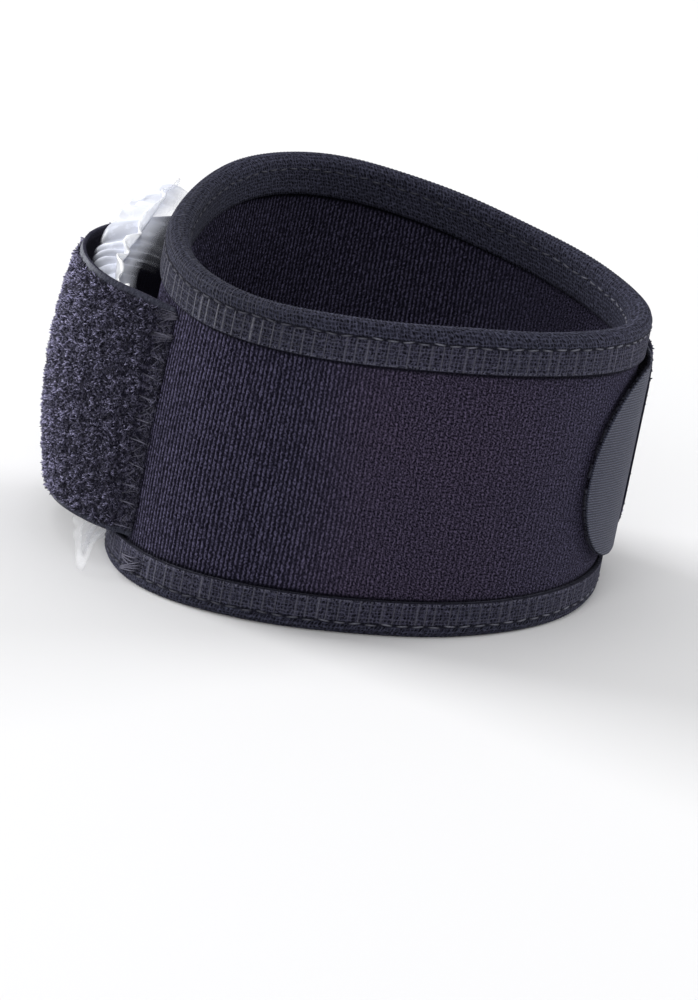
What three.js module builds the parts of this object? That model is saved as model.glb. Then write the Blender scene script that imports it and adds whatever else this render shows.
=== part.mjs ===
// Tennis elbow strap, fastened in a ring and standing on its lower edge. A knitted sleeve goes round
// the forearm, with a folded elastic tape bound over each edge. A strap of loop pile is sewn to the
// front of the sleeve, bulges over an air pad at the left, lies on the sleeve round the back, and ends
// at the right on a hook tab that grips the front of the sleeve.
// Millimetres, +Z up, the front of the strap faces -Y. Angles are degrees round the arm's axis, from +X.
import * as THREE from "three";
import { mergeVertices } from "three/addons/utils/BufferGeometryUtils.js";

// The arm's axis stands this far from the middle of the whole strap, pad pocket included.
const AXIS_X = 3.19;
const AXIS_Y = -1.28;

// Gap that sewn and pressed layers keep between them.
const LAYER_GAP = 0.3;

// The sleeve's form round the arm: radius of the wall's middle at the floor, and height of the rim.
const ARM_SECTIONS = [
  { place: "right", radius: 46.4, rim: 54.3 },
  { place: "right, towards the back", radius: 44.5, rim: 55.6 },
  { place: "back right", radius: 43.0, rim: 59.5 },
  { place: "back", radius: 42.6, rim: 65.0 },
  { place: "back left", radius: 42.4, rim: 68.9 },
  { place: "left, towards the back", radius: 42.0, rim: 69.0 },
  { place: "left", radius: 42.4, rim: 65.2 },
  { place: "left, towards the front", radius: 45.1, rim: 61.2 },
  { place: "front left", radius: 43.2, rim: 59.1 },
  { place: "front", radius: 41.3, rim: 58.7 },
  { place: "front right", radius: 43.7, rim: 58.1 },
  { place: "right, towards the front", radius: 45.5, rim: 56.2 },
];
const SECTION_WAVES = 4;

// The sleeve leans to the right and narrows a little over this height.
const FORM_HEIGHT = 60;
const LEAN = 5.6;
const NARROWING = 0.03;

const RING_STEPS = 72;
const KNIT_WALL = 2.2;
const KNIT_FULLNESS = 0.5;
const KNIT_EDGE = 2.0;

const TAPE = 0.9;
const TOP_TAPE_DEPTH = 7.8;
const BOTTOM_TAPE_DEPTH = 7.2;
const FLAT_FOOT = 1.3;
const ARC_STEPS = 3;

const STRAP_THICKNESS = 2.0;
const SEAM_EDGE_ANGLE = 209.5;
const POCKET_FRONT_ANGLE = 206;
const POCKET_BACK_ANGLE = 110;
const STRAP_END_ANGLE = 8;
const POCKET_DEPTH_TOP = 18.2;
const POCKET_DEPTH_BOTTOM = 15.4;
const POCKET_CROWN = 3.5;
const POCKET_SHARPNESS = 1.15;
const STRAP_CORNER = 7;
// The strap's lower and upper edges along its way round.
const STRAP_SECTIONS = [
  { place: "sewn edge", angle: 209.5, low: 8.0, high: 52.3 },
  { place: "pocket front", angle: 196, low: 7.0, high: 53.2 },
  { place: "pocket middle", angle: 165, low: 6.0, high: 54.2 },
  { place: "pocket back", angle: 140, low: 6.6, high: 53.4 },
  { place: "back on the sleeve", angle: 108, low: 8.6, high: 50.0 },
  { place: "back right", angle: 60, low: 8.4, high: 47.4 },
  { place: "end on the tab", angle: 8, low: 8.0, high: 45.6 },
];
const STRAP_STEPS = 64;
const STRAP_ROWS = 6;

const TAB_THICKNESS = 1.3;
const TAB_HEIGHT = 36;
const TAB_MIDDLE = 27.2;
const TAB_TIP_ANGLE = 330;
const TAB_LENGTH = 47;
const TAB_ROUND = 18;
const TAB_NOSE = 1.4;
const TAB_STEPS = 24;
const TAB_ROWS = 8;
const TAB_CLIMB = { from: 36, to: 28 };

const PAD_WIDTH = 46;
const PAD_HEIGHT = 57;
const PAD_WELD = 3;
const PAD_FILM = 0.3;
const PAD_ANGLE = 173;
const PAD_MIDDLE = 32.2;
const PAD_TILT = 8;
const PAD_RADIUS = 54;
const PAD_FULLNESS = { power: 2.4, root: 0.7 };
const PAD_ROOM = 0.4;
const PAD_HANG = 0.24;
const PAD_STEPS = 20;

const radians = THREE.MathUtils.degToRad;
const degrees = THREE.MathUtils.radToDeg;

// A column of the arm's table as a smooth closed wave through its evenly spaced rows.
function roundTheArm(column) {
  const count = ARM_SECTIONS.length;
  const step = (2 * Math.PI) / count;
  return (angle) => {
    let value = 0;
    ARM_SECTIONS.forEach((row, i) => {
      const turn = radians(angle) - i * step;
      let weight = 1;
      for (let wave = 1; wave <= SECTION_WAVES; wave++) weight += 2 * Math.cos(wave * turn);
      value += (row[column] * weight) / count;
    });
    return value;
  };
}
const armRadius = roundTheArm("radius");
const rimHeight = roundTheArm("rim");

// A column of the strap's table at an angle, eased between its rows.
function alongStrap(column, angle) {
  const last = STRAP_SECTIONS.length - 1;
  let i = 0;
  while (i < last - 1 && angle < STRAP_SECTIONS[i + 1].angle) i++;
  const a = STRAP_SECTIONS[i];
  const b = STRAP_SECTIONS[i + 1];
  const share = THREE.MathUtils.smoothstep(-angle, -a.angle, -b.angle);
  return THREE.MathUtils.lerp(a[column], b[column], share);
}

// The place that lies at an angle round the arm, a height, and an offset out from the wall's middle.
function onArm(angle, height, offset) {
  const share = height / FORM_HEIGHT;
  const reach = armRadius(angle) * (1 - NARROWING * share) + offset;
  const turn = radians(angle);
  return new THREE.Vector3(
    AXIS_X + LEAN * share + reach * Math.cos(turn),
    AXIS_Y + reach * Math.sin(turn),
    height,
  );
}

// Moves each corner of a plain geometry to its place on the object, and closes the result.
function formed(geometry, place) {
  const position = geometry.getAttribute("position");
  const corner = new THREE.Vector3();
  for (let i = 0; i < position.count; i++) {
    corner.fromBufferAttribute(position, i);
    const moved = place(corner);
    position.setXYZ(i, moved.x, moved.y, moved.z);
  }
  geometry.deleteAttribute("normal");
  geometry.deleteAttribute("uv");
  const closed = mergeVertices(geometry, 1e-4);
  closed.computeVertexNormals();
  return closed;
}

// A ring round the arm: a section of offsets and heights, turned on a lathe and formed to the arm.
const LATHE_RADIUS = 100;
function armRing(section, heightAt) {
  const profile = section.map((p) => new THREE.Vector2(LATHE_RADIUS + p.x, p.y));
  profile.push(profile[0].clone());
  const ring = new THREE.LatheGeometry(profile, RING_STEPS);
  return formed(ring, (corner) => {
    const angle = -degrees(Math.atan2(corner.z, corner.x));
    const offset = Math.hypot(corner.x, corner.z) - LATHE_RADIUS;
    return onArm(angle, heightAt(angle, corner.y), offset);
  });
}

// The knitted wall between the two tapes, a little fuller at the middle of its height.
function knitSleeve() {
  const half = KNIT_WALL / 2;
  const middle = half + KNIT_FULLNESS;
  const section = [
    new THREE.Vector2(half, 0),
    new THREE.Vector2(half, 0.14),
    new THREE.Vector2(middle, 0.4),
    new THREE.Vector2(middle, 0.6),
    new THREE.Vector2(half, 0.86),
    new THREE.Vector2(half, 1),
    new THREE.Vector2(-half, 1),
    new THREE.Vector2(-half, 0),
  ];
  const heightAt = (angle, share) =>
    THREE.MathUtils.lerp(KNIT_EDGE, rimHeight(angle) - KNIT_EDGE, share);
  return armRing(section, heightAt);
}

// A tape folded over an edge: two legs joined by a round fold at height 0, the legs hanging below it.
function foldedTape(depth, flatFoot) {
  const inside = KNIT_WALL / 2 + LAYER_GAP;
  const outside = inside + TAPE;
  const fold = new THREE.Path();
  fold.moveTo(outside, -depth);
  fold.lineTo(outside, -outside);
  if (flatFoot) {
    const round = outside - flatFoot;
    fold.absarc(flatFoot, -round, round, 0, Math.PI / 2);
    fold.absarc(-flatFoot, -round, round, Math.PI / 2, Math.PI);
  } else {
    fold.absarc(0, -outside, outside, 0, Math.PI);
  }
  fold.lineTo(-outside, -depth);
  fold.lineTo(-inside, -depth);
  fold.absarc(0, -outside, inside, Math.PI, 0, true);
  fold.lineTo(inside, -depth);
  return fold.getPoints(ARC_STEPS);
}

function topBinding() {
  const section = foldedTape(TOP_TAPE_DEPTH, 0);
  return armRing(section, (angle, height) => rimHeight(angle) + height);
}

// The lower tape is the same fold turned over, pressed flat where the strap stands.
function bottomBinding() {
  const section = foldedTape(BOTTOM_TAPE_DEPTH, FLAT_FOOT).map(
    (p) => new THREE.Vector2(p.x, -p.y),
  );
  section.reverse();
  return armRing(section, (angle, height) => height);
}

// How far round the pocket an angle lies, from 0 at its front to 1 at its back, as a swelling.
function pocketSwelling(angle) {
  const share = (POCKET_FRONT_ANGLE - angle) / (POCKET_FRONT_ANGLE - POCKET_BACK_ANGLE);
  if (share <= 0 || share >= 1) return 0;
  return Math.sin(Math.PI * share) ** POCKET_SHARPNESS;
}

// Offset of the strap's inner face: flat on the sleeve, out over the pad, and up on to the hook tab.
const STRAP_SEAT = KNIT_WALL / 2 + KNIT_FULLNESS + LAYER_GAP;
function strapInside(angle, across) {
  const swelling = pocketSwelling(angle);
  const depth = THREE.MathUtils.lerp(POCKET_DEPTH_BOTTOM, POCKET_DEPTH_TOP, across);
  const crown = 1 - (2 * across - 1) ** 2;
  const climb = THREE.MathUtils.smoothstep(-angle, -TAB_CLIMB.from, -TAB_CLIMB.to);
  return (
    STRAP_SEAT +
    swelling * (depth + POCKET_CROWN * crown) +
    climb * (TAB_THICKNESS + LAYER_GAP)
  );
}

// The pile strap: a long plate wrapped from its sewn edge, over the pad and round the back, to its end.
function pileStrap() {
  const plate = new THREE.BoxGeometry(1, 1, 1, STRAP_STEPS, 1, STRAP_ROWS);
  return formed(plate, (corner) => {
    const angle = THREE.MathUtils.lerp(SEAM_EDGE_ANGLE, STRAP_END_ANGLE, corner.x + 0.5);
    const low = alongStrap("low", angle);
    const high = alongStrap("high", angle);
    const toEnd = radians(angle - STRAP_END_ANGLE) * armRadius(angle);
    const missing = Math.max(0, STRAP_CORNER - toEnd);
    const trim = STRAP_CORNER - Math.sqrt(STRAP_CORNER ** 2 - missing ** 2);
    const across = 0.5 - corner.z;
    const height = THREE.MathUtils.lerp(low + trim, high - trim, across);
    const offset = strapInside(angle, across) + (0.5 - corner.y) * STRAP_THICKNESS;
    return onArm(angle, height, offset);
  });
}

// The hook tab: a flat tape with a round end, lying on the sleeve with its other end under the strap.
function hookTab() {
  const plate = new THREE.BoxGeometry(1, 1, 1, TAB_STEPS, 1, TAB_ROWS);
  const noseTurn = Math.asin(TAB_NOSE / TAB_ROUND);
  const fullTurn = Math.PI / 2;
  const roundShare = 0.5;
  return formed(plate, (corner) => {
    const along = 0.5 - corner.x;
    let reach = TAB_ROUND;
    let half = TAB_HEIGHT / 2;
    if (along < roundShare) {
      const turn = THREE.MathUtils.lerp(noseTurn, fullTurn, along / roundShare);
      reach = TAB_ROUND * (1 - Math.cos(turn));
      half = (TAB_HEIGHT / 2) * Math.sin(turn);
    } else {
      reach = THREE.MathUtils.lerp(TAB_ROUND, TAB_LENGTH, (along - roundShare) / (1 - roundShare));
    }
    const radius = armRadius(TAB_TIP_ANGLE) + STRAP_SEAT;
    const angle = TAB_TIP_ANGLE + degrees(reach / radius);
    const height = TAB_MIDDLE - 2 * corner.z * half;
    const offset = STRAP_SEAT + (0.5 - corner.y) * TAB_THICKNESS;
    return onArm(angle, height, offset);
  });
}

// The air pad: a pillow of two welded films that fills the pocket, set a little askew in it, so that
// one corner shows above the strap and one below.
function airPad() {
  const plate = new THREE.BoxGeometry(1, 1, 1, PAD_STEPS, 1, PAD_STEPS);
  const tilt = radians(PAD_TILT);
  const cushion = (share, size) => {
    const inner = Math.min(1, Math.abs(share) * (size / (size - 2 * PAD_WELD)));
    return (1 - inner ** PAD_FULLNESS.power) ** PAD_FULLNESS.root;
  };
  return formed(plate, (corner) => {
    const along = corner.x * PAD_WIDTH;
    const up = -corner.z * PAD_HEIGHT;
    const arc = along * Math.cos(tilt) - up * Math.sin(tilt);
    const height = PAD_MIDDLE + up * Math.cos(tilt) + along * Math.sin(tilt);
    const angle = PAD_ANGLE - degrees(arc / PAD_RADIUS);
    const roof = strapInside(angle, 0);
    const hang = 0.5 + PAD_HANG * Math.max(0, 2 * corner.z) ** 2;
    const middle = THREE.MathUtils.lerp(STRAP_SEAT, roof, hang);
    const room = (1 - hang) * (roof - STRAP_SEAT) - PAD_ROOM - PAD_FILM;
    const fill = cushion(2 * corner.x, PAD_WIDTH) * cushion(2 * corner.z, PAD_HEIGHT);
    const half = PAD_FILM + Math.max(0, room) * fill;
    return onArm(angle, height, middle - 2 * corner.y * half);
  });
}

function part(name, geometry, material) {
  const mesh = new THREE.Mesh(geometry, new THREE.MeshStandardMaterial(material));
  mesh.name = name;
  return mesh;
}

const elbowStrap = new THREE.Group();
elbowStrap.add(
  part("knit_sleeve", knitSleeve(), { color: 0x2b2935, roughness: 0.95, metalness: 0 }),
  part("top_binding", topBinding(), { color: 0x33343d, roughness: 0.9, metalness: 0 }),
  part("bottom_binding", bottomBinding(), { color: 0x33343d, roughness: 0.9, metalness: 0 }),
  part("pile_strap", pileStrap(), { color: 0x34323d, roughness: 1, metalness: 0 }),
  part("hook_tab", hookTab(), { color: 0x4d505e, roughness: 0.8, metalness: 0 }),
  part("air_pad", airPad(), {
    color: 0xe8ecf2,
    roughness: 0.08,
    metalness: 0,
    transparent: true,
    opacity: 0.35,
  }),
);

export default elbowStrap;
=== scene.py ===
import math

import bpy
import numpy as np
from mathutils import Matrix, Vector


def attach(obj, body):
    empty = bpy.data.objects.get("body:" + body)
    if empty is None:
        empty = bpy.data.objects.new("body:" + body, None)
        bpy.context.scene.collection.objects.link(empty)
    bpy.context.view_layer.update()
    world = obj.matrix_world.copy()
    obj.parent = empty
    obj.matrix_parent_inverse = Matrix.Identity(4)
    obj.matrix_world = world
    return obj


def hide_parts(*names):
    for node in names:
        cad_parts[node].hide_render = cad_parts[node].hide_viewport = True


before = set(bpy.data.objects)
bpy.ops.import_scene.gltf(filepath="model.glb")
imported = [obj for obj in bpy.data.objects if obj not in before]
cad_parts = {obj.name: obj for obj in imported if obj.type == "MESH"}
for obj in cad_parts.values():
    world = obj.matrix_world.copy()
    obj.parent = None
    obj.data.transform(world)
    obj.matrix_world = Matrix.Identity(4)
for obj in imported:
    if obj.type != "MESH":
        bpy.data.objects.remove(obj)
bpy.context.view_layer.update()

# The sleeve is a tube of dark rib knit that goes round the forearm. It is knitted as one strip, rolled
# round and joined at the back, leans with the arm, and its soft wall is a little over 2 mm thick.
MM = 0.001
ARM_AXIS_X = 3.19
ARM_AXIS_Y = -1.28
# Radius of the wall's middle at the floor and height of the rim, every 30 degrees from the right.
ARM_SECTIONS = np.array((
    (45.9, 54.3), (44.5, 55.6), (43.0, 59.5), (42.6, 65.0), (42.4, 68.9), (42.0, 69.0),
    (42.4, 65.2), (45.1, 61.2), (43.2, 59.1), (41.3, 58.7), (43.7, 58.1), (45.5, 56.2),
))
ARM_WAVES = 4
ARM_FORM_HEIGHT = 60.0
ARM_LEAN = 5.6
ARM_NARROWING = 0.03
ARM_STEEP_RIGHT = 1.12


def round_the_arm(column, angle):
    """One column of the arm's table as a smooth closed wave, at angles in degrees."""
    count = len(ARM_SECTIONS)
    turns = np.radians(np.asarray(angle, float))[..., None] - np.arange(count) * (2 * math.pi / count)
    weight = np.ones_like(turns)
    for wave in range(1, ARM_WAVES + 1):
        weight += 2 * np.cos(wave * turns)
    return (ARM_SECTIONS[:, column] * weight).sum(axis=-1) / count


def on_arm(angle, height, offset):
    """The place in metres at angles round the arm, heights and offsets from the wall's middle, in mm."""
    angle, height, offset = np.broadcast_arrays(
        np.asarray(angle, float), np.asarray(height, float), np.asarray(offset, float)
    )
    share = height / ARM_FORM_HEIGHT
    turn = np.radians(angle)
    narrowing = ARM_NARROWING * (1 - ARM_STEEP_RIGHT * (0.5 + 0.5 * np.cos(turn)) ** 3)
    reach = round_the_arm(0, angle) * (1 - narrowing * share) + offset
    x = ARM_AXIS_X + ARM_LEAN * share + reach * np.cos(turn)
    y = ARM_AXIS_Y + reach * np.sin(turn)
    return np.stack((x, y, height), axis=-1) * MM


def ease(value, low, high):
    """Smooth step from 0 at low to 1 at high."""
    share = np.clip((np.asarray(value, float) - low) / (high - low), 0, 1)
    return share * share * (3 - 2 * share)


def flat_strip(name, cells_along, cells_across):
    """A flat piece of cloth as a plain grid, one unit each way."""
    bpy.ops.object.select_all(action="DESELECT")
    bpy.ops.mesh.primitive_grid_add(x_subdivisions=cells_along, y_subdivisions=cells_across, size=1.0)
    strip = bpy.context.object
    strip.name = name
    strip.data.name = name
    return strip


def points_of(piece):
    """A piece's points as rows of x, y, z."""
    flat = np.empty(len(piece.data.vertices) * 3)
    piece.data.vertices.foreach_get("co", flat)
    return flat.reshape(-1, 3)


def lay_strip(strip, place):
    """Moves a strip's points: place gives where they go, where they are on the cloth, and how far the
    finished faces stand out there, all but the first in mm."""
    flat = points_of(strip)
    places, cloth_along, cloth_across, relief = place(flat[:, 0] + 0.5, flat[:, 1] + 0.5)
    strip.data.vertices.foreach_set("co", places.ravel())
    corners = np.empty(len(strip.data.loops), int)
    strip.data.loops.foreach_get("vertex_index", corners)
    cloth = strip.data.uv_layers.active
    cloth.name = "cloth_mm"
    cloth.data.foreach_set("uv", np.stack((cloth_along[corners], cloth_across[corners]), axis=1).ravel())
    keep_values(strip, "relief", relief)
    strip.data.update()


def edit_all(step, **settings):
    """Takes one edit step on all of the piece in hand."""
    bpy.ops.object.mode_set(mode="EDIT")
    bpy.ops.mesh.select_all(action="SELECT")
    step(**settings)
    bpy.ops.object.mode_set(mode="OBJECT")


JOIN_REACH = 0.02


def close_ring():
    """Joins the two ends of the strip in hand where they meet."""
    edit_all(bpy.ops.mesh.remove_doubles, threshold=JOIN_REACH * MM)


def keep_values(piece, label, values):
    """Keeps a value at each point of a piece under a label."""
    piece.data.attributes.new(label, "FLOAT", "POINT").data.foreach_set("value", values)


def kept_values(piece, label):
    """The values that a piece keeps at its points under a label."""
    values = np.empty(len(piece.data.vertices))
    piece.data.attributes[label].data.foreach_get("value", values)
    return values


def raise_faces(piece, relief):
    """Moves a piece's points out along their normals by a relief in mm."""
    normals = np.empty(len(piece.data.vertices) * 3)
    piece.data.vertex_normals.foreach_get("vector", normals)
    raised = points_of(piece) + normals.reshape(-1, 3) * relief[:, None] * MM
    piece.data.vertices.foreach_set("co", raised.ravel())
    piece.data.update()


def apply_modifier(piece, kind, **settings):
    """Changes the piece in hand by a modifier."""
    modifier = piece.modifiers.new(kind.lower(), kind)
    for label, value in settings.items():
        setattr(modifier, label, value)
    bpy.ops.object.modifier_apply(modifier=modifier.name)


def give_wall(strip, thickness):
    """Gives a sheet its thickness, half to each side, and then raises its relief on both faces."""
    apply_modifier(strip, "SOLIDIFY", thickness=thickness * MM, offset=0.0)
    bpy.ops.object.shade_smooth()
    raise_faces(strip, kept_values(strip, "relief"))


KNIT_WALL = 2.2
KNIT_FULLNESS = 0.5
KNIT_EDGE = 2.0
KNIT_JOIN_ANGLE = 90.0
KNIT_GIRTH = 277.0
KNIT_RIBS = 318
KNIT_CELLS_PER_RIB = 4
KNIT_CELLS_UP = 14
KNIT_RIB_RELIEF = 0.11
# How far the ribs sway and quiver, as shares of a rib.
KNIT_SWAY = 0.3
KNIT_QUIVER = 0.08
# Degrees at which the ribs begin to flatten, lie flat, begin to rise again, and stand up fully, and the
# share of their strength that they lose there.
KNIT_FLAT = np.array((246.0, 284.0, 395.0, 435.0))
KNIT_FLATTENING = 0.75
TOP_TAPE_DEPTH = 7.8
BOTTOM_TAPE_DEPTH = 7.2
# Shift in mm of the painted shadow on the knit along the bottom tape's edge.
BOTTOM_TAPE_PAINTED_SHADOW = 0.85


def rib_strength(angle):
    return 1 - KNIT_FLATTENING * (ease(angle, *KNIT_FLAT[:2]) - ease(angle, *KNIT_FLAT[2:]))


def sleeve_place(along, across):
    turn = np.radians(KNIT_JOIN_ANGLE + 360 * along)
    sway = KNIT_SWAY * np.sin(turn * 5 + across * 3.5)
    wander = sway + KNIT_QUIVER * np.sin(turn * 31 - across * 20)
    angle = KNIT_JOIN_ANGLE + 360 * (along - wander / KNIT_RIBS)
    height = KNIT_EDGE + (round_the_arm(1, angle) - 2 * KNIT_EDGE) * across
    fullness = KNIT_FULLNESS * np.sin(math.pi * across)
    crest = np.cos(2 * math.pi * (along * KNIT_RIBS - 0.5))
    relief = KNIT_RIB_RELIEF * rib_strength(angle) * crest * np.sin(math.pi * across) ** 0.3
    return on_arm(angle, height, fullness), along * KNIT_GIRTH, height, relief


sleeve = flat_strip("sleeve", KNIT_RIBS * KNIT_CELLS_PER_RIB, KNIT_CELLS_UP)
rim_heights = round_the_arm(1, KNIT_JOIN_ANGLE + 360 * (points_of(sleeve)[:, 0] + 0.5))
lay_strip(sleeve, sleeve_place)
knit_heights = points_of(sleeve)[:, 2] / MM
# Distance of each point from the tapes' free edges, kept for the painted shadow line along them.
to_tape = np.minimum(rim_heights - TOP_TAPE_DEPTH - knit_heights,
                     knit_heights - BOTTOM_TAPE_DEPTH + BOTTOM_TAPE_PAINTED_SHADOW)
keep_values(sleeve, "to_tape", to_tape)
close_ring()
give_wall(sleeve, KNIT_WALL)


class Shading:
    """Writes the nodes of one shader tree. A value is a socket, or a plain number or colour."""

    def __init__(self, tree):
        self.tree = tree

    def node(self, kind):
        return self.tree.nodes.new("ShaderNode" + kind)

    def link(self, value, target):
        """Links a socket to an input, or sets a plain value on it."""
        if isinstance(value, bpy.types.NodeSocket):
            self.tree.links.new(value, target)
        else:
            target.default_value = value

    def calc(self, operation, *values):
        """A Math node."""
        step = self.node("Math")
        step.operation = operation
        for value, target in zip(values, step.inputs):
            self.link(value, target)
        return step.outputs[0]

    def times(self, value, factor):
        return self.calc("MULTIPLY", value, factor)

    def times_plus(self, value, factor, more):
        return self.calc("MULTIPLY_ADD", value, factor, more)

    def rest(self, share):
        """What a share leaves of 1."""
        return self.calc("SUBTRACT", 1.0, share)

    def soft_step(self, value, low, high):
        """Smooth step from 0 at low to 1 at high."""
        step = self.node("MapRange")
        step.interpolation_type = "SMOOTHSTEP"
        for label, given in (("Value", value), ("From Min", low), ("From Max", high)):
            self.link(given, step.inputs[label])
        return step.outputs["Result"]

    def spot(self, along, across):
        """A place made of two distances."""
        place = self.node("CombineXYZ")
        self.link(along, place.inputs["X"])
        self.link(across, place.inputs["Y"])
        return place.outputs["Vector"]

    def clouds(self, place, scale, detail):
        """Soft noise from 0 to 1 at a place, with lumps of about 1 / scale."""
        noise = self.node("TexNoise")
        for label, given in (("Scale", scale), ("Detail", detail), ("Vector", place)):
            self.link(given, noise.inputs[label])
        return noise.outputs["Fac"]

    def tint(self, share, strength, below, colour):
        """Lays a colour over another by a share of a strength."""
        mixer = self.node("Mix")
        mixer.data_type = "RGBA"
        self.link(self.times(share, strength), mixer.inputs["Factor"])
        self.link(below, mixer.inputs[6])
        self.link(colour, mixer.inputs[7])
        return mixer.outputs[2]

    def kept(self, label):
        """The values that a mesh keeps at its points under a label."""
        values = self.node("Attribute")
        values.attribute_name = label
        return values.outputs["Fac"]

    def cloth_place(self):
        """The place on the cloth in millimetres: (vector, along, across)."""
        uv = self.node("UVMap")
        uv.uv_map = "cloth_mm"
        split = self.node("SeparateXYZ")
        self.link(uv.outputs["UV"], split.inputs["Vector"])
        return uv.outputs["UV"], split.outputs["X"], split.outputs["Y"]

    def use(self, group, **values):
        """Places a shader group and sets its inputs. Returns its outputs."""
        placed = self.node("Group")
        placed.node_tree = group.tree
        for label, value in values.items():
            self.link(value, placed.inputs[label.replace("_", " ")])
        return placed.outputs


def new_group(name, inputs, outputs):
    """A shader group with named sockets: (its shading, inputs by name, outputs by name). An input has a
    start value, or none if it is a place."""
    group = Shading(bpy.data.node_groups.new(name, "ShaderNodeTree"))
    for label, value in inputs.items():
        kind = "NodeSocketVector" if value is None else "NodeSocketFloat"
        socket = group.tree.interface.new_socket(label, in_out="INPUT", socket_type=kind)
        if value is not None:
            socket.default_value = value
    for label in outputs:
        group.tree.interface.new_socket(label, in_out="OUTPUT", socket_type="NodeSocketFloat")
    nodes = group.tree.nodes
    return group, nodes.new("NodeGroupInput").outputs, nodes.new("NodeGroupOutput").inputs


def set_inputs(node, values):
    """Sets a node's inputs by name."""
    for label, value in values.items():
        node.inputs[label].default_value = value


def new_material(name):
    """A material and its shader."""
    material = bpy.data.materials.new(name)
    material.use_nodes = True
    return material, material.node_tree.nodes["Principled BSDF"]


def new_cloth(name, roughness, sheen, sheen_tint):
    """A cloth material: (material, its shading, its shader)."""
    material, shader = new_material(name)
    set_inputs(shader, {"Roughness": roughness, "Specular IOR Level": 0.05, "Sheen Weight": sheen,
                        "Sheen Roughness": 0.45, "Sheen Tint": sheen_tint})
    return material, Shading(material.node_tree), shader


def dress(cloth, shader, colour, height, depth):
    """Feeds a colour to a shader, and a height, in parts of a depth in mm, to its normal."""
    cloth.link(colour, shader.inputs["Base Color"])
    bump = cloth.node("Bump")
    bump.inputs["Distance"].default_value = depth * MM
    cloth.link(height, bump.inputs["Height"])
    cloth.link(bump.outputs["Normal"], shader.inputs["Normal"])


# Lint and uneven dye, on every cloth of the strap: a slow drift of the colour, and small pale fibres.
lint, lint_in, lint_out = new_group("lint_and_dye", {"Place": None}, ("Drift", "Lint"))
lint.link(lint.clouds(lint_in["Place"], 0.07, 3.0), lint_out["Drift"])
fibres = lint.soft_step(lint.clouds(lint_in["Place"], 2.6, 3.0), 0.58, 0.72)
gathered = lint.soft_step(lint.clouds(lint_in["Place"], 0.4, 2.0), 0.4, 0.62)
lint.link(lint.times(fibres, gathered), lint_out["Lint"])

# Rib knit: upright ribs of small bright stitches between dark furrows. Where the ribs are stretched flat
# the stitches are a fine even speckle instead.
ribs, rib_in, rib_out = new_group(
    "rib_knit", {"Along": 0.0, "Across": 0.0, "Pitch": 1.1, "Ribbing": 1.0}, ("Yarn", "Height"))
rib_along = rib_in["Along"]
rib_across = rib_in["Across"]
rib_place = ribs.spot(rib_along, rib_across)
rib_wiggle = ribs.calc("SUBTRACT", ribs.clouds(rib_place, 1.3, 1.0), 0.5)
rib_count = ribs.times_plus(rib_wiggle, 0.85, ribs.calc("DIVIDE", rib_along, rib_in["Pitch"]))
rib_number = ribs.calc("FLOOR", rib_count)
off_crest = ribs.calc("SUBTRACT", ribs.calc("FRACT", rib_count), 0.5)
crest = ribs.rest(ribs.soft_step(ribs.calc("ABSOLUTE", off_crest), 0.06, 0.38))
dash_along = ribs.times_plus(rib_number, 5.7, off_crest)
dash_place = ribs.spot(dash_along, ribs.times_plus(rib_across, 1.6, off_crest))
dash = ribs.soft_step(ribs.clouds(dash_place, 1.0, 1.0), 0.34, 0.62)
fuzz = ribs.soft_step(ribs.clouds(rib_place, 2.4, 2.0), 0.38, 0.64)
speckle_slant = ribs.times(rib_across, 0.8)
speckle_place = ribs.spot(ribs.times_plus(rib_along, 3.1, speckle_slant), ribs.times(rib_across, 2.7))
speckle = ribs.soft_step(ribs.clouds(speckle_place, 1.0, 2.0), 0.38, 0.64)
ribbed = ribs.times(crest, ribs.times_plus(dash, 0.7, 0.2))
ribbed = ribs.times(ribbed, ribs.times_plus(fuzz, 1.0, 0.5))
ribbed = ribs.times_plus(fuzz, 0.1, ribbed)
smooth = ribs.times(speckle, ribs.times_plus(crest, 0.4, 0.5))
rib_yarn = ribs.calc("ADD", ribs.times(ribbed, rib_in["Ribbing"]),
                     ribs.times(smooth, ribs.rest(rib_in["Ribbing"])))
ribs.link(rib_yarn, rib_out["Yarn"])
ribs.link(ribs.times_plus(speckle, 0.3, rib_yarn), rib_out["Height"])

knit, knitted, knit_shader = new_cloth("charcoal_rib_knit", 0.9, 0.04, (0.6, 0.55, 0.8, 1))
place, along, across = knitted.cloth_place()


def along_at(angle):
    """How far along the rolled strip an angle lies, in mm from the join."""
    return (angle - KNIT_JOIN_ANGLE) / 360 * KNIT_GIRTH


def comes_and_goes(cloth, along, ways):
    """A mask along a cloth that rises between the first two ways in mm and falls between the last two."""
    starts, full, fades, ends = ways
    return cloth.calc("SUBTRACT", cloth.soft_step(along, starts, full), cloth.soft_step(along, fades, ends))


KNIT_PLUM = np.array((248.0, 274.0, 292.0, 335.0))
# Distances in mm from a tape's edge over which the painted shadow on the knit fades out.
KNIT_PAINTED_SHADOW = (0.55, 1.15)
flattened = comes_and_goes(knitted, along, along_at(KNIT_FLAT))
ribbing = knitted.times_plus(flattened, -0.85, 1.0)
stitches = knitted.use(ribs, Along=along, Across=across, Pitch=KNIT_GIRTH / KNIT_RIBS, Ribbing=ribbing)
dye = knitted.use(lint, Place=place)
plum = comes_and_goes(knitted, along, along_at(KNIT_PLUM))
yarn = knitted.tint(plum, 1.0, (0.112, 0.102, 0.178, 1), (0.140, 0.108, 0.186, 1))
yarn = knitted.tint(dye["Drift"], 0.5, yarn, (0.090, 0.085, 0.150, 1))
yarn = knitted.tint(dye["Lint"], 0.15, yarn, (0.16, 0.15, 0.2, 1))
yarn = knitted.tint(stitches["Yarn"], 1.0, (0.0028, 0.0024, 0.0065, 1), yarn)
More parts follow.
